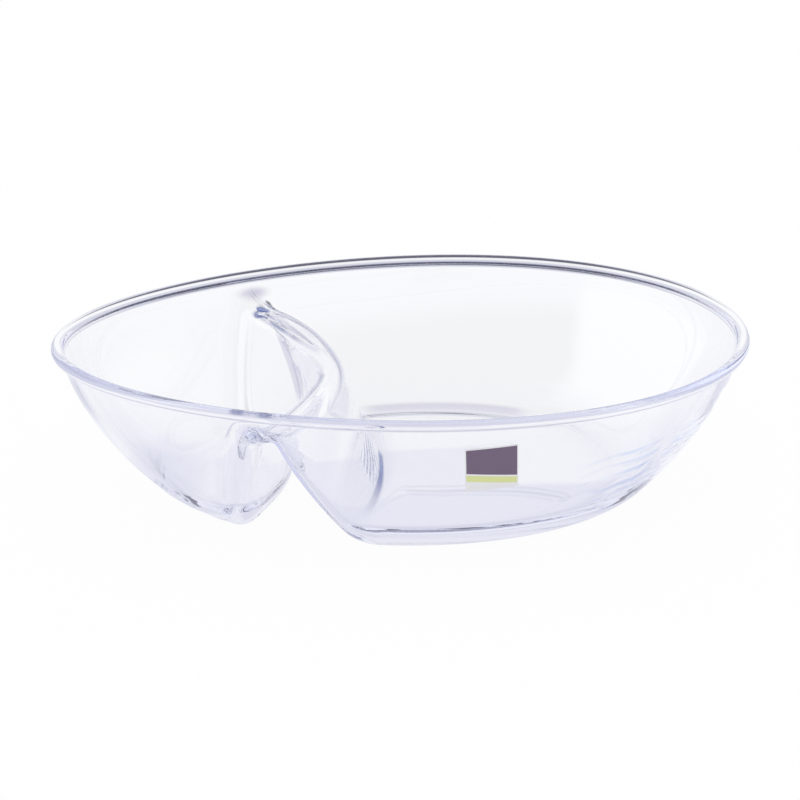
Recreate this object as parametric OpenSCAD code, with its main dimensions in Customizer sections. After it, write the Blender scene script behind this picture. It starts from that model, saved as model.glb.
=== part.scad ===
// Divided serving bowl of clear plastic.
// An oval bowl, wider at one end, with a hollow fold across it that parts off a dip compartment.
// The bowl is one moulding, and a printed label sticks to the front of its wall.
// Millimetres, Z up. The origin is on the table under the middle of the rim, the wide end is at +X,
// and the front, with the label, is at -Y.

/* [Rim] */
// Half the length of the rim, to the middle of its bead
rim_half_length = 175; // [140:1:220]
// Half the width of the rim at the middle of its length, to the middle of its bead
rim_half_width = 117.3; // [96:0.1:150]
// How much the wide end of the rim swells and the narrow end draws in, as a share of the width
rim_egg_share = 0.119; // [0:0.001:0.2]
// Height of the middle of the bead above the table
rim_height = 79.5; // [72:0.5:100]
// Half the width of the bead, across the rim
bead_half_width = 2.6; // [2:0.1:4]
// Half the height of the bead
bead_half_height = 2.6; // [2:0.1:4]
// Height of the fillet under the bead
bead_fillet = 1.3; // [0.6:0.1:2.5]

/* [Wall] */
// Thickness of the wall at the base, and of the fold
wall = 3.9; // [2.5:0.1:5]
// Thickness of the wall at the rim
rim_wall = 2.2; // [1.5:0.1:3.5]
// How far the outside of the wall lies inside the middle of the bead
wall_inset = 1.5; // [1:0.1:2.5]
// How much the wall bulges between the base and the rim, as a share of its lean
wall_bulge_share = 0.74; // [0.3:0.02:0.9]

/* [Base] */
// Half the length of the base, where the wall would meet the table
base_half_length = 122; // [100:1:140]
// Half the width of the base, where the wall would meet the table
base_half_width = 86.5; // [74:0.5:100]
// How far the middle of the base lies towards the wide end
base_shift = 2; // [0:0.5:6]
// How much the wide end of the base swells, as a share of the width
base_egg_share = 0.08; // [0:0.01:0.15]
// Thickness of the base
base_thickness = 4.2; // [3:0.1:6]
// Radius of the outer edge of the base
base_edge_radius = 8; // [4:0.5:12]
// Radius between the floor and the wall, inside
floor_radius = 14; // [8:0.5:18]

/* [Fold] */
// Where the crest of the fold crosses the middle of the bowl
fold_x = -37.3; // [-50:0.5:-25]
// How tightly the crest bends where it crosses the middle
fold_round = 25; // [15:1:60]
// How steeply the crest runs back to the walls, as a share of the run across
fold_sweep_share = 0.618; // [0.3:0.02:0.8]
// Height of the crest above the table
crest_height = 65.5; // [56:0.5:70]
// Thickness of the plastic over the top of the hollow
crest_thickness = 4.5; // [3:0.1:6]
// Radius of the crest's top edges
crest_radius = 5.5; // [3:0.5:7]
// Half the width of the hollow at its top
hollow_half_width = 3; // [2:0.5:6]
// Radius of the hollow's top edges
hollow_radius = 2.5; // [1:0.5:4]
// How far the main compartment's side leans, as a share of its height
main_lean_share = 0.34; // [0.2:0.02:0.5]
// How far the fold grows towards the main compartment half way along each of its limbs
limb_growth = 5.2; // [0:0.2:7]
// How far from the middle of the bowl the limbs stop growing
limb_end = 95; // [85:1:115]
// How far the dip compartment's side leans, as a share of its height
dip_lean_share = 0.33; // [0.2:0.02:0.4]
// Radius between the fold and the walls and floor, inside
inner_corner_radius = 10; // [6:0.5:14]
// Radius of the main compartment's corner beside the hollow, outside
main_corner_radius = 14; // [8:0.5:18]
// Radius of the dip compartment's corner beside the hollow, outside
dip_corner_radius = 7; // [5:0.5:14]

/* [Label] */
// Width of the label
label_width = 25; // [15:0.5:35]
// Height of the label, along the wall
label_height = 24.5; // [15:0.5:30]
// Thickness of the label
label_thickness = 0.2; // [0.15:0.05:0.5]
// Where the middle of the label lies along the bowl
label_x = 31.5; // [0:0.5:60]
// Height of the middle of the label above the table
label_z = 54.5; // [40:0.5:60]
// How far the label is turned on the wall, in degrees
label_turn = 3.5; // [-10:0.5:10]

/* [Hidden] */

// Share of a fillet's radius over which two faces blend
blend_share = 1.17;
// Gap between the label and the wall it sticks to
label_gap = 0.1;
// How far the bowl is built below the table before its base is cut flat
base_cut = 0.3;
// How far up a floor's fillet the flat of the floor is taken to end
floor_lift = 0.05;
// How far the outside of the wall starts below the middle of the bead
bead_drop = bead_half_height + bead_fillet;
// Smallest length, to keep a division from failing
tiny = 0.001 * wall;

// Where the rays that shape the two compartments start, along the bowl
main_centre_x = fold_x + 0.47 * rim_half_length;
dip_centre_x = fold_x - 0.31 * rim_half_length;

// Steps along the rim beside each compartment, along the crest, and from floor to edge
main_rim_steps = 68;
dip_rim_steps = 32;
crest_steps = 28;
main_ring_shares = [0.07, 0.13, 0.2, 0.28, 0.37, 0.47, 0.58, 0.7, 0.81, 0.9, 0.96];
dip_ring_shares = [0.07, 0.15, 0.24, 0.34, 0.45, 0.57, 0.7, 0.82, 0.91, 0.965];
label_steps = 8;
march_steps = 8;

wall_top_half_length = rim_half_length - wall_inset;
wall_top_half_width = rim_half_width - wall_inset;
hollow_height = crest_height - crest_thickness;

// Smooth larger and smaller of two distances, which rounds an edge to about radius r
function round_max(a, b, r) =
    let (k = blend_share * r, over = max(k - abs(a - b), 0))
    max(a, b) + over * over / (4 * k);
function round_min(a, b, r) = -round_max(-a, -b, r);
function mix(a, b, t) = a + (b - a) * t;
function ease(t) = let (u = min(max(t, 0), 1)) u * u * (3 - 2 * u);

// Distance from the outside of the oval wall at p, less than zero inside the bowl
function wall_distance(p) =
    let (
        h = p.z / rim_height,
        out = h * (1 + wall_bulge_share * (1 - h)),
        climb = (1 + wall_bulge_share * (1 - 2 * h)) / rim_height,
        a = mix(base_half_length, wall_top_half_length, out),
        b = mix(base_half_width, wall_top_half_width, out),
        egg = mix(base_egg_share, rim_egg_share, out),
        x = (p.x - base_shift * (1 - out)) / a,
        swell = 1 + egg * min(max(x, -1.5), 1.5),
        y = p.y / (b * swell),
        far = sqrt(x * x + y * y) + tiny / a,
        dx = (x / a - y * y * egg / (swell * a)) / far,
        dy = y / (b * swell) / far,
        dz = (x * x * (wall_top_half_length - base_half_length) / a
            + y * y * (wall_top_half_width - base_half_width) / b) * climb / far
    )
    (far - 1) / sqrt(dx * dx + dy * dy + dz * dz);

// Line of the crest in plan: a rounded bend with straighter tails
function fold_line(y) =
    fold_x + fold_round - sqrt(fold_round * fold_round + pow(fold_sweep_share * y, 2));
// Distance in plan from the line of the crest, more than zero towards the main compartment
function fold_side(p) =
    let (
        run = sqrt(fold_round * fold_round + pow(fold_sweep_share * p.y, 2)),
        slope = fold_sweep_share * fold_sweep_share * p.y / run
    )
    (p.x - fold_line(p.y)) / sqrt(1 + slope * slope);

// How far the main compartment's side of the fold has grown at y: nothing at its bend and its ends
function growth_at(y) = let (s = min(pow(y / limb_end, 2), 1)) 4 * limb_growth * s * (1 - s);

// Distance into the fold: its faces lie grow outside the hollow's, and its top is at height top
function fold_depth(p, grow, top, r) =
    let (
        side = fold_side(p),
        down = hollow_height - p.z,
        main_half_width = hollow_half_width + growth_at(p.y) + main_lean_share * down,
        to_main = (main_half_width - side) / norm([1, main_lean_share]),
        to_dip = (hollow_half_width + dip_lean_share * down + side) / norm([1, dip_lean_share])
    )
    round_min(round_min(to_main + grow, to_dip + grow, r), top - p.z, r);

// Thickness of the wall at height z
function wall_at(z) = mix(wall, rim_wall, pow(z / rim_height, 2));

// The outside of the moulding and the inside of its compartments, each less than zero within
function outside(p) =
    let (corner = mix(dip_corner_radius, main_corner_radius, ease(0.5 + fold_side(p) / main_corner_radius)))
    round_max(
        round_max(wall_distance(p), -base_cut - p.z, base_edge_radius),
        fold_depth(p, 0, hollow_height, hollow_radius),
        corner);
function inside(p) =
    round_max(
        round_max(wall_distance(p) + wall_at(p.z), base_thickness - p.z, floor_radius),
        fold_depth(p, wall, crest_height, crest_radius),
        inner_corner_radius);

// Distance along a ray from o to the surface where field is zero: steps by the distance left,
// then three straight-line guesses, each from a closer pair of places
function march(field, o, d, s, n) = n == 0 ? s : march(field, o, d, s - field(o + d * s), n - 1);
function settle(field, o, d, s, step, n) =
    let (
        here = field(o + d * s),
        ahead = field(o + d * (s + step))
    )
    n == 0 ? s : settle(field, o, d, s - here * step / max(ahead - here, step / 10), step / 4, n - 1);
function strike(field, o, d) = o + d * settle(field, o, d, march(field, o, d, 0, march_steps), wall / 4, 3);

// Share of the way from a to b at which a surface is crossed, found by halving the span
function span_at(field, a, b, lo, hi, n) =
    let (m = (lo + hi) / 2)
    n == 0 ? m : field(mix(a, b, m)) < 0 ? span_at(field, a, b, m, hi, n - 1) : span_at(field, a, b, lo, m, n - 1);

// Middle of the bead at angle t, and the way out from it in plan
function rim_point(t) =
    [rim_half_length * cos(t), rim_half_width * sin(t) * (1 + rim_egg_share * cos(t)), rim_height];
function rim_out(t) =
    let (
        along = [-rim_half_length * sin(t),
            rim_half_width * (cos(t) + rim_egg_share * (cos(t) * cos(t) - sin(t) * sin(t)))],
        n = [along.y, -along.x] / norm(along)
    )
    [n.x, n.y, 0];

// Where the two walls reach the rim at angle t: the inside at the bead's middle, the outside under it
function edge_inside(t) =
    let (o = rim_point(t) - rim_out(t) * (wall_inset + rim_wall + bead_half_width))
    o + rim_out(t) * march(function (p) inside(p), o, rim_out(t), 0, march_steps);
function edge_outside(t) =
    let (o = rim_point(t) - rim_out(t) * (wall_inset + wall) - [0, 0, bead_drop])
    o + rim_out(t) * march(function (p) outside(p), o, rim_out(t), 0, march_steps);

// Angle at which the crest's line meets the inside of the rim
function join_angle(lo, hi, n) =
    let (m = (lo + hi) / 2, e = edge_inside(m))
    n == 0 ? m : e.x > fold_line(e.y) ? join_angle(m, hi, n - 1) : join_angle(lo, m, n - 1);
join = join_angle(90, 150, 16);

// Angles of the rim's points, from the back join round the narrow end, the front join and the wide end
dip_angles = [for (i = [0:dip_rim_steps]) mix(join, 360 - join, i / dip_rim_steps)];
main_angles = [for (i = [0:main_rim_steps]) mix(-join, join, i / main_rim_steps)];
rim_angles = concat(
    [for (i = [0:dip_rim_steps - 1]) dip_angles[i]],
    [for (i = [0:main_rim_steps - 1]) main_angles[i]]);
rim_count = len(rim_angles);

// Points along the crest, or along the top of the hollow, between the two joins
function crest_points(field, e) =
    [for (i = [1:crest_steps - 1])
        let (
            u = 2 * i / crest_steps - 1,
            y = e.y * (1.25 * u - 0.25 * u * u * u),
            x = fold_line(y) + (e.x - fold_line(e.y)) * y * y / (e.y * e.y),
            high = [x, y, e.z],
            low = [x, y, -base_cut]
        )
        mix(high, low, span_at(field, high, low, 0, 1, 16))];

// Direction from a towards b by share t of the angle between them
function swing(a, b, t) =
    let (u = a / norm(a), v = b / norm(b), w = acos(min(max(u * v, -1), 1)))
    (u * sin((1 - t) * w) + v * sin(t * w)) / sin(w);

// Where a compartment's flat floor ends below the edge point p, with the floor at height level
function floor_end(field, o, p, level) =
    let (share = span_at(field, [o.x, o.y, level + floor_lift], [p.x, p.y, level + floor_lift], 0, 1, 14))
    [mix(o.x, p.x, share), mix(o.y, p.y, share), level];
// One compartment's skin: the middle of its floor, the floor's end, and rings up to the edge,
// with rays from o
function skin(field, o, edge, level, shares) =
    let (feet = [for (p = edge) floor_end(field, o, p, level)])
    concat(
        [[o.x, o.y, level]],
        feet,
        [for (s = shares, i = [0:len(edge) - 1]) strike(field, o, swing(feet[i] - o, edge[i] - o, s))]);

// Triangles between two rings of point numbers, and round one point
function band(a, b) =
    let (n = len(a))
    [for (i = [0:n - 1]) each [[a[i], b[i], b[(i + 1) % n]], [a[i], b[(i + 1) % n], a[(i + 1) % n]]]];
function fan(c, a) = let (n = len(a)) [for (i = [0:n - 1]) [c, a[i], a[(i + 1) % n]]];
function turned(faces) = [for (f = faces) [f[2], f[1], f[0]]];

// Faces of one skin: its middle is point first, its rings follow, and edge lists its last ring
function skin_faces(first, count, edge, shares) =
    let (
        n = count,
        ring = [for (j = [0:len(shares)]) [for (i = [0:n - 1]) first + 1 + j * n + i]],
        all = concat(ring, [edge])
    )
    concat(fan(first, all[0]), [for (j = [0:len(all) - 2]) each band(all[j], all[j + 1])]);

// Section of the bead over the top of the wall: a quarter turn up from the inside edge,
// a half turn down the outside, and a fillet in to the wall
lip_angles = [30, 60, 90];
bead_angles = [30, 60, 90, 120, 150, 180];
fillet_angles = [30, 60];
function lip(t) =
    let (
        c = rim_point(t),
        out = rim_out(t),
        from = edge_inside(t),
        to = edge_outside(t),
        up = [0, 0, bead_half_height],
        foot = [c.x, c.y, to.z]
    )
    concat(
        [for (a = lip_angles) c + (from - c) * cos(a) + up * sin(a)],
        [for (a = bead_angles) c + out * bead_half_width * sin(a) + up * cos(a)],
        [for (a = fillet_angles) foot + (to - foot) * sin(a) + (c - up - foot) * cos(a)]);
lip_count = len(lip_angles) + len(bead_angles) + len(fillet_angles);

// Both skins and the bead as one closed surface
module moulding() {
    in_field = function (p) inside(p);
    out_field = function (p) outside(p);
    main_o = [main_centre_x, 0, rim_height];
    dip_o = [dip_centre_x, 0, rim_height];
    in_edge = [for (t = rim_angles) edge_inside(t)];
    out_edge = [for (t = rim_angles) edge_outside(t)];
    in_crest = crest_points(in_field, in_edge[0]);
    out_crest = crest_points(out_field, out_edge[0]);
    nd = dip_rim_steps + crest_steps;
    nm = main_rim_steps + crest_steps;
    crest_count = crest_steps - 1;

    // Point numbers of the edges: the rim's first, then the crest's
    dip_rim = [for (i = [0:dip_rim_steps]) i];
    main_rim = [for (i = [0:main_rim_steps]) (dip_rim_steps + i) % rim_count];
    crest_up = [for (i = [0:crest_count - 1]) i];
    crest_down = [for (i = [0:crest_count - 1]) crest_count - 1 - i];

    dip_in_edge = concat([for (i = dip_rim) in_edge[i]], [for (i = crest_up) in_crest[i]]);
    main_in_edge = concat([for (i = main_rim) in_edge[i]], [for (i = crest_down) in_crest[i]]);
    dip_out_edge = concat([for (i = dip_rim) out_edge[i]], [for (i = crest_up) out_crest[i]]);
    main_out_edge = concat([for (i = main_rim) out_edge[i]], [for (i = crest_down) out_crest[i]]);
    dip_in_pts = skin(in_field, dip_o, dip_in_edge, base_thickness, dip_ring_shares);
    main_in_pts = skin(in_field, main_o, main_in_edge, base_thickness, main_ring_shares);
    dip_out_pts = skin(out_field, dip_o, dip_out_edge, -base_cut, dip_ring_shares);
    main_out_pts = skin(out_field, main_o, main_out_edge, -base_cut, main_ring_shares);
    lip_pts = [for (t = rim_angles) each lip(t)];

    in_edge_at = 0;
    in_crest_at = in_edge_at + rim_count;
    out_edge_at = in_crest_at + crest_count;
    out_crest_at = out_edge_at + rim_count;
    lip_at = out_crest_at + crest_count;
    dip_in_at = lip_at + rim_count * lip_count;
    main_in_at = dip_in_at + len(dip_in_pts);
    dip_out_at = main_in_at + len(main_in_pts);
    main_out_at = dip_out_at + len(dip_out_pts);

    points = concat(
        in_edge, in_crest, out_edge, out_crest, lip_pts,
        dip_in_pts, main_in_pts, dip_out_pts, main_out_pts);

    in_skins = concat(
        skin_faces(dip_in_at, nd,
            concat([for (i = dip_rim) in_edge_at + i], [for (i = crest_up) in_crest_at + i]),
            dip_ring_shares),
        skin_faces(main_in_at, nm,
            concat([for (i = main_rim) in_edge_at + i], [for (i = crest_down) in_crest_at + i]),
            main_ring_shares));
    out_skins = concat(
        skin_faces(dip_out_at, nd,
            concat([for (i = dip_rim) out_edge_at + i], [for (i = crest_up) out_crest_at + i]),
            dip_ring_shares),
        skin_faces(main_out_at, nm,
            concat([for (i = main_rim) out_edge_at + i], [for (i = crest_down) out_crest_at + i]),
            main_ring_shares));
    lip_rings = concat(
        [[for (i = [0:rim_count - 1]) in_edge_at + i]],
        [for (k = [0:lip_count - 1]) [for (i = [0:rim_count - 1]) lip_at + i * lip_count + k]],
        [[for (i = [0:rim_count - 1]) out_edge_at + i]]);
    lip_faces = [for (k = [0:lip_count]) each band(lip_rings[k], lip_rings[k + 1])];
    polyhedron(points, concat(turned(in_skins), out_skins, turned(lip_faces)), convexity = 8);
}

// The moulding, with its base cut flat
module bowl() {
    reach = 2 * rim_half_length;
    color("lavender", 0.35)
    difference() {
        moulding();
        translate([-reach, -reach, -reach])
            cube([2 * reach, 2 * reach, reach]);
    }
}

// Place on the front of the wall, at u along the label and v up it, lifted off the wall by gap
function on_label(u, v, gap) =
    let (
        x = label_x + u * cos(label_turn) - v * sin(label_turn),
        up = u * sin(label_turn) + v * cos(label_turn),
        field = function (p) outside(p),
        lean = on_wall(x, label_z + label_height / 2).y - on_wall(x, label_z - label_height / 2).y,
        z = label_z + up * label_height / norm([label_height, lean])
    )
    on_wall(x, z) + way_out(on_wall(x, z)) * gap;
function on_wall(x, z) =
    let (o = [x, 0, z])
    o + [0, -1, 0] * march(function (p) outside(p), o, [0, -1, 0], 0, 2 * march_steps);
function way_out(p) =
    let (
        g = [for (e = [[1, 0, 0], [0, 1, 0], [0, 0, 1]]) outside(p + e * wall / 10) - outside(p - e * wall / 10)]
    )
    g / norm(g);

// The printed label, a thin sheet that follows the wall
module label() {
    n = label_steps;
    grid = [for (side = [0, 1], j = [0:n], i = [0:n])
        let (
            u = label_width * (i / n - 0.5),
            v = label_height * (j / n - 0.5)
        )
        on_label(u, v, label_gap + side * label_thickness)];
    m = n + 1;
    loop = concat(
        [for (i = [0:n - 1]) i],
        [for (j = [0:n - 1]) j * m + n],
        [for (i = [0:n - 1]) n * m + n - i],
        [for (j = [0:n - 1]) (n - j) * m]);
    quads = [for (j = [0:n - 1], i = [0:n - 1])
        [j * m + i, j * m + i + 1, (j + 1) * m + i + 1, (j + 1) * m + i]];
    inner = [for (q = quads) each [[q[2], q[1], q[0]], [q[3], q[2], q[0]]]];
    outer = [for (q = quads) each [[q[0], q[1], q[2]] + [m * m, m * m, m * m], [q[0], q[2], q[3]] + [m * m, m * m, m * m]]];
    far = [for (i = loop) i + m * m];
    color([0.24, 0.13, 0.22])
        polyhedron(grid, concat(turned(inner), turned(outer), band(loop, far)));
}

bowl();
label();
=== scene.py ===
# Divided serving bowl of clear plastic, with a small printed label on its front wall.
# Metres, Z up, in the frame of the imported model: +X is the wide end, -Y the front.
# The bowl's own sizes are in millimetres, as they are in the part's source.
import functools
import math

import bpy
import numpy as np
from mathutils import Matrix, Vector

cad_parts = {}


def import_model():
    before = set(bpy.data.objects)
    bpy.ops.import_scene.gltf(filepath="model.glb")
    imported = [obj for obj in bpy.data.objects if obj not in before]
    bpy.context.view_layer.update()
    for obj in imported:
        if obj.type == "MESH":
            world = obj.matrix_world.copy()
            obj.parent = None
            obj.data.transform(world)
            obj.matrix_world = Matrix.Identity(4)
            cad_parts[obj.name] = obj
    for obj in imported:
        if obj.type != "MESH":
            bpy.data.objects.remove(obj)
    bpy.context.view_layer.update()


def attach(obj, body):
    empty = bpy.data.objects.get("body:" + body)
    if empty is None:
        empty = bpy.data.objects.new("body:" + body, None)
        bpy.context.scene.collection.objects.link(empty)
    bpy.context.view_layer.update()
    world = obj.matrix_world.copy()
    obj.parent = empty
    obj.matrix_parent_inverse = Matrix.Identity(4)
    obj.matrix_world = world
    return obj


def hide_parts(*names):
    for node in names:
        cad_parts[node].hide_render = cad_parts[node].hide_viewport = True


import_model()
scene = bpy.context.scene
white = (1.0, 1.0, 1.0, 1)  # what the camera sees round the bowl
print("packed model read")


# A node's output that can be added, multiplied and so on like a number.
class Socket:
    def __init__(self, net, link):
        self.net, self.link = net, link

    def maths(self, kind, *others):
        return self.net.node("ShaderNodeMath", {"operation": kind}, self, *others)

    def reversed(self, kind, other):
        return self.net.node("ShaderNodeMath", {"operation": kind}, other, self)

    def __add__(self, other):
        return self.maths("ADD", other)

    def __radd__(self, other):
        return self.maths("ADD", other)

    def __sub__(self, other):
        return self.maths("SUBTRACT", other)

    def __rsub__(self, other):
        return self.reversed("SUBTRACT", other)

    def __mul__(self, other):
        return self.maths("MULTIPLY", other)

    def __rmul__(self, other):
        return self.maths("MULTIPLY", other)

    def __truediv__(self, other):
        return self.maths("DIVIDE", other)

    def __rtruediv__(self, other):
        return self.reversed("DIVIDE", other)

    def __gt__(self, other):
        return self.maths("GREATER_THAN", other)

    def __neg__(self):
        return self.maths("MULTIPLY", -1.0)

    def __abs__(self):
        return self.maths("ABSOLUTE")


# One tree of nodes: a material, the world or a Geometry Nodes group.
class Net:
    def __init__(self, tree):
        self.tree = tree
        tree.nodes.clear()

    def node(self, kind, settings=None, *values, out=0, **named):
        made = self.tree.nodes.new(kind)
        for key, value in (settings or {}).items():
            setattr(made, key, value)
        for key, value in list(enumerate(values)) + [(k.replace("_", " "), v) for k, v in named.items()]:
            if isinstance(value, Socket):
                self.tree.links.new(value.link, made.inputs[key])
            elif value is not None:
                made.inputs[key].default_value = value
        return Socket(self, made.outputs[out]) if made.outputs else made

    def other(self, socket, out):
        return Socket(self, socket.link.node.outputs[out])

    def parts(self, vector):
        x = self.node("ShaderNodeSeparateXYZ", None, vector)
        return x, self.other(x, "Y"), self.other(x, "Z")

    def smooth(self, value, start, end):
        return self.node("ShaderNodeMapRange", {"interpolation_type": "SMOOTHSTEP"}, value, start, end)

    def between(self, value, low, high, edge):
        return self.smooth(value, low - edge, low + edge) * self.smooth(value, high + edge, high - edge)

    # Share in which the values named in `at` keep to all the limits. Each limit is a name with the two
    # values between which it fades in, or with a low end, a high end and the softness of both.
    def limited(self, at, limits):
        shares = [self.between(at[name], *ends) if len(ends) == 3 else self.smooth(at[name], *ends)
                  for name, *ends in limits]
        return math.prod(shares[1:], start=shares[0])

    def blend(self, share, first, second, kind="RGBA"):
        slots = (0, 6, 7, 2) if kind == "RGBA" else (0, 2, 3, 0)  # three inputs and the output of this kind
        made = self.tree.nodes.new("ShaderNodeMix")
        made.data_type = kind
        for slot, value in zip(slots, (share, first, second)):
            if isinstance(value, Socket):
                self.tree.links.new(value.link, made.inputs[slot])
            else:
                made.inputs[slot].default_value = value
        return Socket(self, made.outputs[slots[3]])


# The same formulas serve plain arrays and sockets.
def most(p, q):
    for one, two in ((p, q), (q, p)):
        if isinstance(one, Socket):
            return one.maths("MAXIMUM", two)
    return np.maximum(p, q)


def least(p, q):
    return -most(-p, -q)


def root(p):
    return p.maths("SQRT") if isinstance(p, Socket) else np.sqrt(p)


def ease(p):
    t = least(most(p, 0.0), 1.0)
    return t * t * (3 - 2 * t)


def newMaterial(name):
    made = bpy.data.materials.new(name)
    made.use_nodes = True
    return made, Net(made.node_tree)


def newGroup(name, sizes):
    tree = bpy.data.node_groups.new(name, "GeometryNodeTree")
    tree.interface.new_socket("Geometry", in_out="INPUT", socket_type="NodeSocketGeometry")
    tree.interface.new_socket("Geometry", in_out="OUTPUT", socket_type="NodeSocketGeometry")
    for size in sizes:
        tree.interface.new_socket(size, in_out="INPUT", socket_type="NodeSocketFloat")
    net = Net(tree)
    start = net.node("NodeGroupInput")
    return net, start, {size: net.other(start, size) for size in sizes}


# Runs a group on an object, and leaves the result as the object's plain mesh.
def runGroup(ob, net, sizes):
    modifier = ob.modifiers.new("shape", "NODES")
    modifier.node_group = net.tree
    for item in net.tree.interface.items_tree:
        if item.in_out == "INPUT" and item.name in sizes:
            modifier[item.identifier] = float(sizes[item.name])
    ob.update_tag()
    made = bpy.data.meshes.new_from_object(ob.evaluated_get(bpy.context.evaluated_depsgraph_get()))
    made.name = ob.name
    ob.modifiers.remove(modifier)
    ob.data = made


def newObject(name, mesh):
    ob = bpy.data.objects.new(name, mesh)
    scene.collection.objects.link(ob)
    return ob


cameraSizes = {
    "lens": 88.0, "sensor": 36.0,  # mm
    "distance": 1.0,  # m, from the middle of the rim
    "height": 21.0,  # degrees above the rim
    "side": 5.267,  # degrees towards the narrow end
    "rimHeight": 0.079,
    "frame": 800,  # pixels each way
    "rimMiddle": (402.4, 335.85),  # the pixel of the rim's middle
    "clip": (0.01, 50.0),
    "turns": 20,
}


def makeCamera(c):
    up, side = math.radians(c["height"]), math.radians(c["side"])
    level = math.cos(up)
    eye = Vector((-math.sin(side) * level, -math.cos(side) * level, math.sin(up))) * c["distance"]
    focal = c["lens"] / c["sensor"] * c["frame"]
    aside, down = ((pixel - c["frame"] / 2) / focal for pixel in c["rimMiddle"])
    back = eye.normalized()
    for _ in range(c["turns"]):  # turned until the middle of the rim is on its pixel
        right = Vector((0, 0, 1)).cross(back).normalized()
        top = back.cross(right)
        x, y, z = -eye.dot(right), -eye.dot(top), eye.dot(back)
        back = (back - right * (x / z - aside) + top * (-y / z - down)).normalized()
    right = Vector((0, 0, 1)).cross(back).normalized()
    place = Matrix((right, back.cross(right), back)).transposed().to_4x4()
    place.translation = eye + Vector((0, 0, c["rimHeight"]))
    data = bpy.data.cameras.new("camera")
    data.lens, data.sensor_width = c["lens"], c["sensor"]
    data.clip_start, data.clip_end = c["clip"]
    ob = newObject("camera", data)
    ob.matrix_world = place
    scene.camera = ob
    print("camera at", [round(v, 4) for v in place.translation])


makeCamera(cameraSizes)


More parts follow.
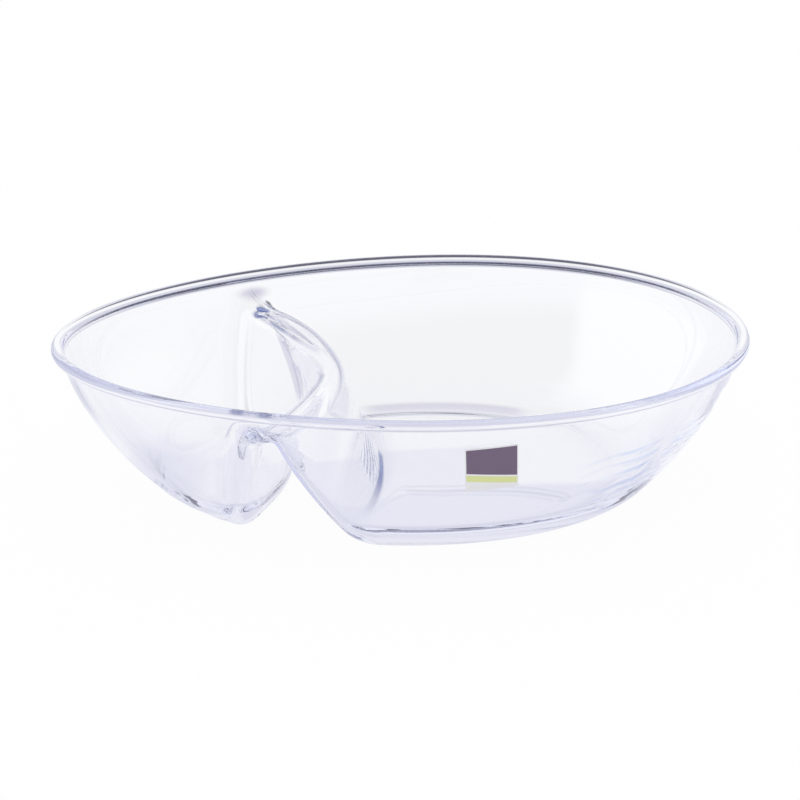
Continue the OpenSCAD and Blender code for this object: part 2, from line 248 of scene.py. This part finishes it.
bowlValues = {
    # mm, and the eggs, bulge, sweep and leans as shares
    "sizes": {
        "rimHalfLength": 175.0, "rimHalfWidth": 117.3, "rimEgg": 0.119, "rimHeight": 79.5,
        "beadHalfWidth": 2.6, "beadHalfHeight": 2.6, "beadFillet": 1.3,
        "wall": 3.9, "rimWall": 2.2, "wallInset": 1.5, "bulge": 0.74,
        "baseHalfLength": 122.0, "baseHalfWidth": 86.5, "baseShift": 2.0, "baseEgg": 0.08,
        "baseThickness": 4.2, "baseEdgeRadius": 8.0, "floorRadius": 14.0,
        "foldX": -37.3, "foldRound": 25.0, "foldSweep": 0.618,
        "crestHeight": 65.5, "crestRadius": 5.5,
        "hollowHeight": 61.0, "hollowHalfWidth": 3.0, "hollowRadius": 2.5,
        "mainLean": 0.34, "dipLean": 0.33, "limbGrowth": 5.2, "limbEnd": 95.0,
        "innerCorner": 10.0, "mainCorner": 14.0, "dipCorner": 7.0,
    },
    # how many rows of points each stretch has, and how they are spread
    "steps": {
        "mainRim": 264, "dipRim": 124, "crest": 112, "crestSpread": 0.3,
        "mainRise": 58, "dipRise": 46, "riseSpread": 0.6, "floor": (0.45, 0.75, 0.92, 0.985, 1.0),
        "lip": 9, "bead": 17, "fillet": 5,
        "march": 60, "stride": 0.9, "halvings": 40,
        "mainCentre": 0.47, "dipCentre": -0.31,  # half lengths from the fold to where the ways start
        "lowest": -1.0, "floorLift": 0.02, "slopeStep": 0.02,  # mm
    },
    "look": {
        "colour": (0.978, 0.982, 1.0, 1), "ior": 1.5, "roughness": 0.0,
        "tint": (0.0, 0.13, 0.90, 1), "density": 1.0,  # what long paths lose, per metre
        "caught": 16.0,  # turns inside the rim after which light is let out
        "waves": 0.18, "waveScale": 18.0,  # mm, the mould's faint waves, and how many to the metre
        "rings": 0.30, "ringPitch": 4.0, "ringSlant": 0.38, "ringStray": 3.0, "ringEdge": (0.25, 0.8),
        "bands": 0.06, "bandPitch": 6.5, "bandSlant": 0.10, "bandStray": 9.0, "bandEdge": (0.2, 0.9),
        "patchScale": 55.0,
        # Where the painted shade and the ripples lie, in mm. `side` and `slope` run across the fold, from
        # its middle and from its hollow's side, `aside` is `side` without its sign, and `wall` runs outwards
        # from the wall's outer face. `leaning` is y along a slanted line, and `patch` a faint cloudy noise
        # that breaks them up.
        "marks": {
            "rings": (("slope", 2.6, 8.0, 0.6), ("y", -38.0, -8.0, 6.0), ("z", 13.0, 28.0, 2.5)),
            "bands": (("x", 88.0, 200.0, 16.0), ("y", -200.0, -25.0, 15.0), ("z", 8.0, 54.0, 4.0),
                      ("patch", 0.38, 0.60)),
            "foot": (("slope", 2.6, 8.0, 0.6), ("z", 8.6, 11.6, 0.7), ("y", -70.0, -26.0), ("y", 8.0, -2.0)),
            "streak": (("z", 58.5, 68.0, 1.0), ("side", -5.6, -4.0, 0.5), ("y", 40.0, 72.0, 10.0),
                       ("patch", 0.30, 0.55)),
            "diamond": (("z", 58.5, 68.0, 1.0), ("fromDiamond", 3.4, 2.4)),
            "spots": (("aside", 3.5, 10.0, 1.5), ("z", 80.7, 83.0, 0.4), ("y", -80.0, -90.0),
                      ("patch", 0.42, 0.56)),
            "turned": (("leaning", 47.0, 57.0, 1.5), ("side", -20.0, -6.2, 0.5), ("z", 40.0, 62.0, 3.0)),
            "cloud": (("fromCloud", 1.1, 0.2), ("y", 60.0, 75.0)),
            "back": (("z", 4.9, 7.2, 0.8), ("x", -14.0, 74.0, 9.0), ("y", 45.0, 60.0), ("wall", -2.2, -3.2)),
            "lip": (("z", 78.1, 79.3, 0.3), ("wall", -1.5, -1.9), ("y", 0.0, 60.0)),
        },
        # how strongly each painted shade is laid on
        "strength": {"rings": 0.8, "streak": 0.8, "spots": 0.7, "cloud": 0.8},
        # the colours of the painted shade, each laid over the ones before it: grey-lavender, a near-black
        # line at the lip, pale blue on the bands' ripples and deep blue
        "tones": (
            ((0.60, 0.58, 0.72, 1), ("turned", "cloud", "back")),
            ((0.05, 0.05, 0.09, 1), ("lip",)),
            ((0.75, 0.82, 0.985, 1), ("bands",)),
            ((0.06, 0.09, 0.30, 1), ("foot", "rings", "streak", "diamond", "spots")),
        ),
        "diamondAt": (-0.5, 82.0), "diamondShape": (1.4, 0.45),
        "cloudAt": (2.0, 70.3), "cloudSize": (11.0, 4.0),
        "turnedAt": 61.2, "turnedLean": 1.8,
    },
}
bowlSizes, bowlSteps, bowlLook = bowlValues.values()
millimetre = 0.001
blendShare = 1.17  # of a fillet's radius, over which two faces blend
eggEnd = 1.5  # half lengths from the middle to where the egg shape stops growing
tiny = 1e-6


# Smooth larger and smaller of two distances, which rounds an edge to about radius r.
def roundMax(p, q, r):
    reach = blendShare * r
    over = most(reach - abs(p - q), 0.0)
    return most(p, q) + over * over / (4 * reach)


def roundMin(p, q, r):
    return -roundMax(-p, -q, r)


# How far a point is outside the leaning egg-shaped wall.
def wallDistance(x, y, z, b):
    h = z / b["rimHeight"]
    out = h * (1 + b["bulge"] * (1 - h))
    climb = (1 + b["bulge"] * (1 - 2 * h)) / b["rimHeight"]
    longer = b["rimHalfLength"] - b["wallInset"] - b["baseHalfLength"]
    wider = b["rimHalfWidth"] - b["wallInset"] - b["baseHalfWidth"]
    a, w = b["baseHalfLength"] + longer * out, b["baseHalfWidth"] + wider * out
    egg = b["baseEgg"] + (b["rimEgg"] - b["baseEgg"]) * out
    u = (x - b["baseShift"] * (1 - out)) / a
    swell = 1 + egg * least(most(u, -eggEnd), eggEnd)
    v = y / (w * swell)
    far = root(u * u + v * v) + tiny
    dx = (u / a - v * v * egg / (swell * a)) / far
    dy = v / (w * swell) / far
    dz = (u * u * longer / a + v * v * wider / w) * climb / far
    return (far - 1) / root(dx * dx + dy * dy + dz * dz)


def foldReach(y, b):
    sweep = b["foldSweep"] * y
    return root(b["foldRound"] * b["foldRound"] + sweep * sweep)


def foldLine(y, b):
    return b["foldX"] + b["foldRound"] - foldReach(y, b)


def foldSide(x, y, b):
    slope = b["foldSweep"] * b["foldSweep"] * y / foldReach(y, b)
    return (x - foldLine(y, b)) / root(1 + slope * slope)


# Half the hollow's width towards the main compartment, which grows in the two limbs of the fold:
# nothing at its bend and its ends, and the full growth where s is a half.
def mainHalfWidth(y, z, b):
    s = least(y * y / (b["limbEnd"] * b["limbEnd"]), 1.0)
    return b["hollowHalfWidth"] + b["limbGrowth"] * 4 * s * (1 - s) + b["mainLean"] * (b["hollowHeight"] - z)


# How deep a point is in the hump of the fold, which stands `grow` proud of the hollow.
def foldDepth(x, y, z, b, grow, top, r):
    side, down = foldSide(x, y, b), b["hollowHeight"] - z
    toMain = (mainHalfWidth(y, z, b) - side) / root(1 + b["mainLean"] * b["mainLean"])
    toDip = (b["hollowHalfWidth"] + b["dipLean"] * down + side) / root(1 + b["dipLean"] * b["dipLean"])
    return roundMin(roundMin(toMain + grow, toDip + grow, r), top - z, r)


# How far a point is outside the moulding's outer skin.
def outside(x, y, z, b):
    toMain = ease(0.5 + foldSide(x, y, b) / b["mainCorner"])
    corner = b["dipCorner"] + (b["mainCorner"] - b["dipCorner"]) * toMain
    return roundMax(roundMax(wallDistance(x, y, z, b), -z, b["baseEdgeRadius"]),
                    foldDepth(x, y, z, b, 0.0, b["hollowHeight"], b["hollowRadius"]), corner)


# How far a point is outside the two compartments.
def inside(x, y, z, b):
    h = z / b["rimHeight"]
    wall = b["wall"] + (b["rimWall"] - b["wall"]) * h * h
    return roundMax(roundMax(wallDistance(x, y, z, b) + wall, b["baseThickness"] - z, b["floorRadius"]),
                    foldDepth(x, y, z, b, b["wall"], b["crestHeight"], b["crestRadius"]), b["innerCorner"])


# Painted shade for the dark and bluish marks that the real moulding's finest radii make in it by refraction:
# the share of each, and the height of the ripples in the rings and bands.
def ripplesAndPaintedShade(net, look, place):
    x, y, z = (part / millimetre for part in net.parts(place))
    side = foldSide(x, y, bowlSizes)
    patch = net.node("ShaderNodeTexNoise", None, place, Scale=look["patchScale"], Detail=0.0)

    def away(values, middles, shares):
        return root(sum((value - middle) * (value - middle) * share
                        for value, middle, share in zip(values, middles, shares)))

    at = {
        "x": x, "y": y, "z": z, "side": side, "aside": abs(side), "patch": patch,
        "slope": side - mainHalfWidth(y, z, bowlSizes), "wall": wallDistance(x, y, z, bowlSizes),
        "leaning": y - (z - look["turnedAt"]) * look["turnedLean"],
        "fromDiamond": away((side, y), look["diamondAt"], look["diamondShape"]),
        "fromCloud": away((side, z), look["cloudAt"], [1 / size ** 2 for size in look["cloudSize"]]),
    }
    marks = {name: net.limited(at, limits) for name, limits in look["marks"].items()}
    rings = z - y * look["ringSlant"] + patch * look["ringStray"]
    rings = (rings * (math.tau / look["ringPitch"])).maths("SINE")
    bands = z + patch * look["bandStray"] - x * look["bandSlant"]
    bands = (bands * (math.tau / look["bandPitch"])).maths("SINE")
    height = rings * marks["rings"] * look["rings"] + bands * marks["bands"] * look["bands"]
    marks["rings"] = marks["rings"] * net.smooth(rings, *look["ringEdge"])
    marks["bands"] = marks["bands"] * net.smooth(bands, *look["bandEdge"])
    for name, strength in look["strength"].items():
        marks[name] = marks[name] * strength
    return marks, height


def clearPlastic(look):
    material, net = newMaterial("clearPlastic")
    place = net.node("ShaderNodeTexCoord", out="Object")
    waves = net.node("ShaderNodeTexNoise", None, place, Scale=look["waveScale"], Detail=1.0)
    marks, height = ripplesAndPaintedShade(net, look, place)
    colour = look["colour"]
    # the painted shade is laid over the plastic's own colour
    for tone, names in look["tones"]:
        colour = net.blend(functools.reduce(most, [marks[name] for name in names]), colour, tone)
    bump = net.node("ShaderNodeBump", None, Strength=1.0, Distance=millimetre,
                    Height=waves * look["waves"] + height)
    surface = net.node("ShaderNodeBsdfPrincipled", None, Base_Color=colour, Roughness=look["roughness"],
                       IOR=look["ior"], Transmission_Weight=1.0, Normal=bump)
    volume = net.node("ShaderNodeVolumeAbsorption", None, Color=look["tint"], Density=look["density"])
    # light that has run round inside the rim for long is let out, as the moulding's faults do
    caught = net.node("ShaderNodeLightPath", out="Ray Depth") > look["caught"]
    surface = net.node("ShaderNodeMixShader", None, caught, surface, net.node("ShaderNodeBsdfTransparent"))
    net.node("ShaderNodeOutputMaterial", None, Surface=surface, Volume=volume)
    return material


# Where each way from start to end leaves the skin, by halving.
def crossing(skin, start, end):
    low, high = np.zeros(len(start)), np.ones(len(start))
    for _ in range(bowlSteps["halvings"]):
        middle = (low + high) / 2
        within = skin(*(start + (end - start) * middle[:, None]).T, bowlSizes) < 0
        low, high = np.where(within, middle, low), np.where(within, high, middle)
    return start + (end - start) * low[:, None]


# Points marched along their ways until they lie on the skin.
def strike(skin, start, way):
    for _ in range(bowlSteps["march"]):
        start = start - way * skin(*start.T, bowlSizes)[:, None] * bowlSteps["stride"]
    return start


def rimPoint(t):
    b = bowlSizes
    return np.stack([b["rimHalfLength"] * np.cos(t),
                     b["rimHalfWidth"] * np.sin(t) * (1 + b["rimEgg"] * np.cos(t)),
                     np.full_like(t, b["rimHeight"])], -1)


def rimOut(t):
    b = bowlSizes
    out = np.stack([b["rimHalfWidth"] * (np.cos(t) + b["rimEgg"] * np.cos(2 * t)),
                    b["rimHalfLength"] * np.sin(t), np.zeros_like(t)], -1)
    return out / np.linalg.norm(out, axis=-1, keepdims=True)


def rimEdge(skin, t, drop=0.0):
    reach = bowlSizes["wallInset"] + bowlSizes["rimWall"] + bowlSizes["beadHalfWidth"]
    return strike(skin, rimPoint(t) - rimOut(t) * reach - np.array([0, 0, drop]), rimOut(t))


# The angle of the rim, in its back quarter at the narrow end, at which the fold's line meets it.
def joinAngle():
    low, high = math.pi / 2, math.pi
    for _ in range(bowlSteps["halvings"]):
        middle = (low + high) / 2
        x, y, _ = rimEdge(inside, np.array([middle]))[0]
        low, high = (middle, high) if x > foldLine(y, bowlSizes) else (low, middle)
    return middle


def swing(start, end, share):
    u, v = start / np.linalg.norm(start, axis=1)[:, None], end / np.linalg.norm(end, axis=1)[:, None]
    angle = np.arccos(np.clip((u * v).sum(1), -1, 1))[:, None]
    return (u * np.sin((1 - share) * angle) + v * np.sin(share * angle)) / np.sin(angle)


# Rings of points and the faces between them. Each point has its skin (0 inside, 1 outside, 2 bead)
# and the way it still has to travel to it.
class Cage:
    def __init__(self):
        self.points, self.ways, self.sides, self.faces, self.count = [], [], [], [], 0

    def ring(self, points, side=2.0, way=None):
        points = np.asarray(points, float).reshape(-1, 3)
        self.points.append(points)
        self.ways.append(np.zeros_like(points) if way is None else way)
        self.sides.append(np.full(len(points), side))
        self.count += len(points)
        return np.arange(self.count - len(points), self.count)

    def band(self, low, high, flip=False):
        quads = np.stack([low, high, np.roll(high, -1), np.roll(low, -1)], -1)
        self.faces += (quads[:, ::-1] if flip else quads).tolist()

    def fan(self, middle, ring, flip):
        sides = np.stack([np.full_like(ring, middle), ring, np.roll(ring, -1)], -1)
        self.faces += (sides[:, ::-1] if flip else sides).tolist()

    def mesh(self, name):
        made = bpy.data.meshes.new(name)
        made.from_pydata(np.concatenate(self.points).tolist(), [], self.faces)
        ways = made.attributes.new("way", "FLOAT_VECTOR", "POINT")
        ways.data.foreach_set("vector", np.concatenate(self.ways).ravel())
        sides = made.attributes.new("side", "FLOAT", "POINT")
        sides.data.foreach_set("value", np.concatenate(self.sides))
        return made


# The top of the fold, from one side of the rim to the other.
def ridgePoints(skin, end):
    u = 2 * np.arange(1, bowlSteps["crest"]) / bowlSteps["crest"] - 1
    spread = bowlSteps["crestSpread"]
    y = end[1] * ((1 + spread) * u - spread * u ** 3)
    x = foldLine(y, bowlSizes) + (end[0] - foldLine(end[1], bowlSizes)) * (y / end[1]) ** 2
    high, low = (np.stack([x, y, np.full_like(x, z)], -1) for z in (end[2], bowlSteps["lowest"]))
    return crossing(skin, high, low)


# One skin of one compartment: its floor, and the rings that rise from there to its edge.
def addSkin(cage, skin, side, level, part, edge, ids):
    b, steps = bowlSizes, bowlSteps
    centre = b["foldX"] + steps[part + "Centre"] * b["rimHalfLength"]
    eye, middle = np.array([centre, 0, b["rimHeight"]]), np.array([centre, 0, level])
    lift = np.array([0, 0, steps["floorLift"]])
    under = edge * [1, 1, 0] + [0, 0, level] + lift
    feet = crossing(skin, np.tile(middle + lift, (len(edge), 1)), under) - lift
    last = None
    for share in steps["floor"]:
        ring = cage.ring(middle + (feet - middle) * share, side)
        if last is None:
            cage.fan(cage.ring([middle], side)[0], ring, side > 0)
        else:
            cage.band(last, ring, side > 0)
        last = ring
    rise = np.arange(1, steps[part + "Rise"]) / steps[part + "Rise"]
    for share in rise - steps["riseSpread"] * np.sin(math.tau * rise) / math.tau:
        ring = cage.ring(np.tile(eye, (len(edge), 1)), side, swing(feet - eye, edge - eye, share))
        cage.band(last, ring, side > 0)
        last = ring
    cage.band(last, ids, side > 0)


# The bead that rolls over the top of the wall, and the small fillet under it.
def addBead(cage, t, inner, outer, innerIds, outerIds):
    b, steps = bowlSizes, bowlSteps
    c, out, up = rimPoint(t), rimOut(t), np.array([0, 0, b["beadHalfHeight"]])
    foot = c * [1, 1, 0] + outer * [0, 0, 1]
    rings = [c + (inner - c) * math.cos(a) + up * math.sin(a)
             for a in np.arange(1, steps["lip"] + 1) * math.pi / 2 / steps["lip"]]
    rings += [c + out * b["beadHalfWidth"] * math.sin(a) + up * math.cos(a)
              for a in np.arange(1, steps["bead"] + 1) * math.pi / steps["bead"]]
    rings += [foot + (outer - foot) * math.sin(a) + (c - up - foot) * math.cos(a)
              for a in np.arange(1, steps["fillet"]) * math.pi / 2 / steps["fillet"]]
    last = innerIds
    for points in rings:
        ring = cage.ring(points)
        cage.band(last, ring)
        last = ring
    cage.band(last, outerIds)


def bowlCage():
    b, steps = bowlSizes, bowlSteps
    cage, join = Cage(), joinAngle()
    dipT = join + (math.tau - 2 * join) * np.arange(steps["dipRim"]) / steps["dipRim"]
    mainT = -join + 2 * join * np.arange(steps["mainRim"]) / steps["mainRim"]
    t = np.concatenate([dipT, mainT])
    rims = {"dip": np.arange(steps["dipRim"] + 1),
            "main": (steps["dipRim"] + np.arange(steps["mainRim"] + 1)) % len(t)}
    edges, edgeIds = [], []
    for skin, level, side in ((inside, b["baseThickness"], 0.0), (outside, 0.0, 1.0)):
        edge = rimEdge(skin, t, side * (b["beadHalfHeight"] + b["beadFillet"]))
        ids = cage.ring(edge)
        ridge = ridgePoints(skin, edge[0])
        ridgeIds = cage.ring(ridge, side)
        for part, turn in (("dip", 1), ("main", -1)):
            rim = rims[part]
            addSkin(cage, skin, side, level, part, np.concatenate([edge[rim], ridge[::turn]]),
                    np.concatenate([ids[rim], ridgeIds[::turn]]))
        edges.append(edge)
        edgeIds.append(ids)
    addBead(cage, t, *edges, *edgeIds)
    return cage


# The group moves each point of the cage along its way, step by step, until it lies on its skin.
def bowlGroup(material):
    net, start, sizes = newGroup("bowlSkins", list(bowlSizes))
    zoneIn = net.tree.nodes.new("GeometryNodeRepeatInput")
    zoneOut = net.tree.nodes.new("GeometryNodeRepeatOutput")
    zoneIn.pair_with_output(zoneOut)
    zoneIn.inputs["Iterations"].default_value = bowlSteps["march"]
    way = net.node("GeometryNodeInputNamedAttribute", {"data_type": "FLOAT_VECTOR"}, Name="way")
    side = net.node("GeometryNodeInputNamedAttribute", {"data_type": "FLOAT"}, Name="side")
    x, y, z = net.parts(net.node("GeometryNodeInputPosition"))
    gap = net.blend(side, inside(x, y, z, sizes), outside(x, y, z, sizes), "FLOAT") * -bowlSteps["stride"]
    step = net.node("ShaderNodeVectorMath", {"operation": "SCALE"}, way, Scale=gap)
    net.tree.links.new(start.link, zoneIn.inputs["Geometry"])
    moved = net.node("GeometryNodeSetPosition", None, Socket(net, zoneIn.outputs["Geometry"]), Offset=step)
    net.tree.links.new(moved.link, zoneOut.inputs["Geometry"])
    large = Socket(net, zoneOut.outputs["Geometry"])
    small = net.node("GeometryNodeTransform", None, large, Scale=[millimetre] * 3)
    soft = net.node("GeometryNodeSetShadeSmooth", None, small)
    plain = net.node("GeometryNodeRealizeInstances", None, soft)
    dressed = net.node("GeometryNodeSetMaterial", None, plain, Material=material)
    net.node("NodeGroupOutput", None, dressed)
    return net


# The bowl is shaded by the true slope of its skins, which the faces only come near to.
def trueSlopes(mesh):
    count = len(mesh.vertices)
    points, slopes, sides = np.empty(count * 3), np.empty(count * 3), np.empty(count)
    mesh.vertices.foreach_get("co", points)
    mesh.vertex_normals.foreach_get("vector", slopes)
    mesh.attributes["side"].data.foreach_get("value", sides)
    points, slopes = points.reshape(-1, 3) / millimetre, slopes.reshape(-1, 3)
    for side, skin, facing in ((0, inside, -1), (1, outside, 1)):
        own = sides == side
        rise = [skin(*(points[own] + step).T, bowlSizes) - skin(*(points[own] - step).T, bowlSizes)
                for step in np.eye(3) * bowlSteps["slopeStep"]]
        slopes[own] = facing * np.stack(rise, -1) / np.linalg.norm(rise, axis=0)[:, None]
    mesh.normals_split_custom_set_from_vertices(slopes.tolist())


bowl = newObject("bowlShell", bowlCage().mesh("bowlCage"))
runGroup(bowl, bowlGroup(clearPlastic(bowlLook)), bowlSizes)
trueSlopes(bowl.data)
for spare in ("way", "side"):
    bowl.data.attributes.remove(bowl.data.attributes[spare])
print("bowl has", len(bowl.data.vertices), "points and", len(bowl.data.polygons), "faces")


labelValues = {
    # m, and `turn` in degrees
    "sizes": {"width": 0.025, "height": 0.0245, "middleX": 0.0315, "middleZ": 0.0545, "turn": 3.5,
              "gap": 0.0001, "thickness": 0.0002, "startY": -0.3, "reach": 1.0},
    "look": {
        "rows": 41,
        "plum": (0.15, 0.104, 0.176, 1), "worn": (0.22, 0.16, 0.23, 1), "lime": (0.74, 0.78, 0.36, 1),
        "paper": (0.86, 0.86, 0.88, 1),
        "roughness": 0.35, "grainRoughness": 0.15, "grainColour": 0.5, "grainScale": 2600.0,
        "grainHeight": 0.00003, "grainStrength": 0.2,
        # Shares of the label's height: where the bands start and end at its left edge, how far they
        # drop to its right edge, the white margin and the softness of the edges.
        "plumFrom": 0.44, "limeFrom": 0.25, "limeTo": 0.40, "slant": 0.16, "margin": 0.02, "softness": 0.005,
    },
}
labelSizes, labelLook = labelValues.values()


# A grid is thrown at the outer skin from the front, and gets its thickness there.
def labelGroup(material):
    net, start, s = newGroup("labelOnSkin", list(labelSizes))
    rows = labelLook["rows"]
    grid = net.node("GeometryNodeMeshGrid", None, s["width"], s["height"], rows, rows)
    marked = net.node("GeometryNodeStoreNamedAttribute", {"data_type": "FLOAT2", "domain": "CORNER"}, grid,
                      Name="labelUv", Value=net.other(grid, "UV Map"))
    turn = net.node("ShaderNodeCombineXYZ", None, math.pi / 2, s["turn"] * -math.radians(1), 0.0)
    place = net.node("ShaderNodeCombineXYZ", None, s["middleX"], s["startY"], s["middleZ"])
    upright = net.node("GeometryNodeTransform", None, marked, Translation=place, Rotation=turn)
    hit = net.node("GeometryNodeRaycast", None, start, Ray_Direction=(0, 1, 0), Ray_Length=s["reach"])
    normal = net.other(hit, "Hit Normal")
    raised = net.node("ShaderNodeVectorMath", {"operation": "SCALE"}, normal, Scale=s["gap"])
    on = net.node("ShaderNodeVectorMath", {"operation": "ADD"}, net.other(hit, "Hit Position"), raised)
    sheet = net.node("GeometryNodeSetPosition", None, upright, Position=on)
    thick = net.node("GeometryNodeExtrudeMesh", {"mode": "FACES"}, sheet,
                     Offset_Scale=s["thickness"], Individual=False)
    face = net.node("GeometryNodeStoreNamedAttribute", {"data_type": "FLOAT", "domain": "FACE"}, thick,
                    Name="printed", Value=net.other(thick, "Top"))
    back = net.node("GeometryNodeFlipFaces", None, sheet)
    both = net.node("GeometryNodeJoinGeometry")
    for part in (face, back):
        net.tree.links.new(part.link, both.link.node.inputs[0])
    closed = net.node("GeometryNodeMergeByDistance", None, both, Distance=tiny)
    soft = net.node("GeometryNodeSetShadeSmooth", None, closed, Shade_Smooth=False)
    plain = net.node("GeometryNodeRealizeInstances", None, soft)
    dressed = net.node("GeometryNodeSetMaterial", None, plain, Material=material)
    net.node("NodeGroupOutput", None, dressed)
    return net


# Slanted bands on a white margin: a plum ground, a white line and a lime band.
def printedPaper(look):
    material, net = newMaterial("printedPaper")
    u, v, _ = net.parts(net.node("ShaderNodeAttribute", {"attribute_name": "labelUv"}, out="Vector"))
    printed = net.node("ShaderNodeAttribute", {"attribute_name": "printed"}, out="Fac")

    def past(value, line):
        return net.smooth(value, line - look["softness"], line + look["softness"])

    def before(value, line):
        return net.smooth(value, line + look["softness"], line - look["softness"])

    slant = v + u * look["slant"]
    ground = past(slant, look["plumFrom"])
    lime = past(slant, look["limeFrom"]) * before(slant, look["limeTo"])
    near, far = look["margin"], 1 - look["margin"]
    margin = past(u, near) * before(u, far) * before(v, far)
    place = net.node("ShaderNodeTexCoord", out="Object")
    grain = net.node("ShaderNodeTexNoise", None, place, Scale=look["grainScale"], Detail=2.0)
    plum = net.blend(grain * look["grainColour"], look["plum"], look["worn"])
    colour = net.blend(lime * margin * printed, look["paper"], look["lime"])
    colour = net.blend(ground * margin * printed, colour, plum)
    bump = net.node("ShaderNodeBump", None, Strength=look["grainStrength"], Distance=look["grainHeight"],
                    Height=grain)
    surface = net.node("ShaderNodeBsdfPrincipled", None, Base_Color=colour,
                       Roughness=look["roughness"] + grain * look["grainRoughness"], Normal=bump)
    net.node("ShaderNodeOutputMaterial", None, Surface=surface)
    return material


label = newObject("printedLabel", bowl.data.copy())
runGroup(label, labelGroup(printedPaper(labelLook)), labelSizes)
print("label has", len(label.data.polygons), "faces")


floorLook = {
    "halfSize": 4.0, "level": -0.0004,  # m
    "colour": (0.9, 0.9, 0.9, 1), "glow": 0.97,  # how far the camera and the plastic see it plain
    # What the plastic shows of it: the sheet itself, the painted shadow colour `under`, and the tones of
    # painted shade where their limits hold, near black behind the bowl. `low` is 0 seen from straight above
    # and 1 along the floor, and x and y are in metres.
    "near": white, "under": (0.84, 0.84, 0.92, 1),
    "tones": (
        ((0.70, 0.71, 0.80, 1), (("low", 0.68, 0.80),)),
        ((0.75, 0.75, 0.85, 1), (("low", 0.40, 0.26),)),
        ((0.09, 0.09, 0.14, 1), (("low", 0.50, 0.38), ("y", 0.125, 0.150))),
    ),
    # the shades of the two compartments: half length, half width and middle, and how far out they fade
    "shades": ((0.150, 0.045, 0.050, -0.069, 1.06, 0.92), (0.034, 0.050, -0.130, -0.002, 1.15, 0.40)),
    # and the lighter one beside the fold: its ends and its share
    "sideShade": (("x", -0.100, 0.046, 0.005), ("y", -0.100, 0.019, 0.0025)), "sideShare": 0.65,
}


def makeFloor(look):
    r, z = look["halfSize"], look["level"]
    mesh = bpy.data.meshes.new("floor")
    mesh.from_pydata([(-r, -r, z), (r, -r, z), (r, r, z), (-r, r, z)], [], [(0, 1, 2, 3)])
    material, net = newMaterial("paleFloor")
    path = net.node("ShaderNodeLightPath")
    camera = net.other(path, "Is Camera Ray")
    through = most(net.other(path, "Is Glossy Ray"), net.other(path, "Is Transmission Ray"))
    x, y, _ = net.parts(net.node("ShaderNodeTexCoord", out="Object"))
    at = {"x": x, "y": y, "low": net.node("ShaderNodeLayerWeight", out="Facing")}
    # painted shadows under the two compartments and beside the fold, which only the plastic shows
    shade = net.limited(at, look["sideShade"]) * look["sideShare"]
    for half, wide, atX, atY, start, end in look["shades"]:
        out = root((x - atX) * (x - atX) / half ** 2 + (y - atY) * (y - atY) / wide ** 2)
        shade = most(shade, net.smooth(out, start, end))
    colour = net.blend(shade, look["near"], look["under"])
    # tones of painted shade, by how steeply the floor is seen and where
    for tone, limits in look["tones"]:
        colour = net.blend(net.limited(at, limits), colour, tone)
    colour = net.blend(camera, colour, white)
    lit = net.node("ShaderNodeBsdfDiffuse", None, Color=look["colour"])
    glow = net.node("ShaderNodeEmission", None, Color=colour, Strength=1.0)
    share = most(camera, through) * look["glow"]
    surface = net.node("ShaderNodeMixShader", None, share, lit, glow)
    net.node("ShaderNodeOutputMaterial", None, Surface=surface)
    mesh.materials.append(material)
    ob = newObject("floor", mesh)


# The room is dim and bluish. Each tone lies over the ones before it, where its limits hold for the
# way that is looked: x to the right, y to the back and z up.
studioLook = {
    "room": (0.62, 0.63, 0.73, 1), "bounces": 24,
    "tones": (
        ((0.95, 0.95, 0.96, 1), (("z", 0.12, 0.30), ("z", 0.85, 0.68))),  # a lit backdrop
        ((0.16, 0.16, 0.20, 1), (("z", 0.78, 0.88),)),  # the dark ceiling
        ((0.06, 0.06, 0.08, 1), (("y", -0.15, -0.50), ("z", 0.12, 0.35))),  # behind the camera
        ((0.85, 0.85, 0.90, 1), (("x", 0.40, 0.80), ("z", 0.10, 0.40))),  # a paler wall at the right
        ((1.15, 1.15, 1.15, 1), (("x", -0.66, -0.76), ("z", 0.86, 0.80))),  # a soft light at the left
    ),
}


def makeWorld(look):
    world = bpy.data.worlds.new("studio")
    scene.world = world
    world.use_nodes = True
    net = Net(world.node_tree)
    at = dict(zip("xyz", net.parts(net.node("ShaderNodeTexCoord", out="Generated"))))
    colour = look["room"]
    for tone, limits in look["tones"]:
        colour = net.blend(net.limited(at, limits), colour, tone)
    path = net.node("ShaderNodeLightPath")
    plain = most(net.other(path, "Is Camera Ray"), net.other(path, "Is Diffuse Ray"))
    colour = net.blend(plain, colour, white)
    net.node("ShaderNodeOutputWorld", None, Surface=net.node("ShaderNodeBackground", None, colour, 1.0))
    scene.view_settings.view_transform = "Standard"
    scene.cycles.max_bounces = look["bounces"]
    scene.cycles.transmission_bounces = look["bounces"]
    scene.cycles.glossy_bounces = look["bounces"]


makeFloor(floorLook)
makeWorld(studioLook)
print("floor and light made")

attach(bowl, "root")
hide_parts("bowl")
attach(label, "root")
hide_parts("label")
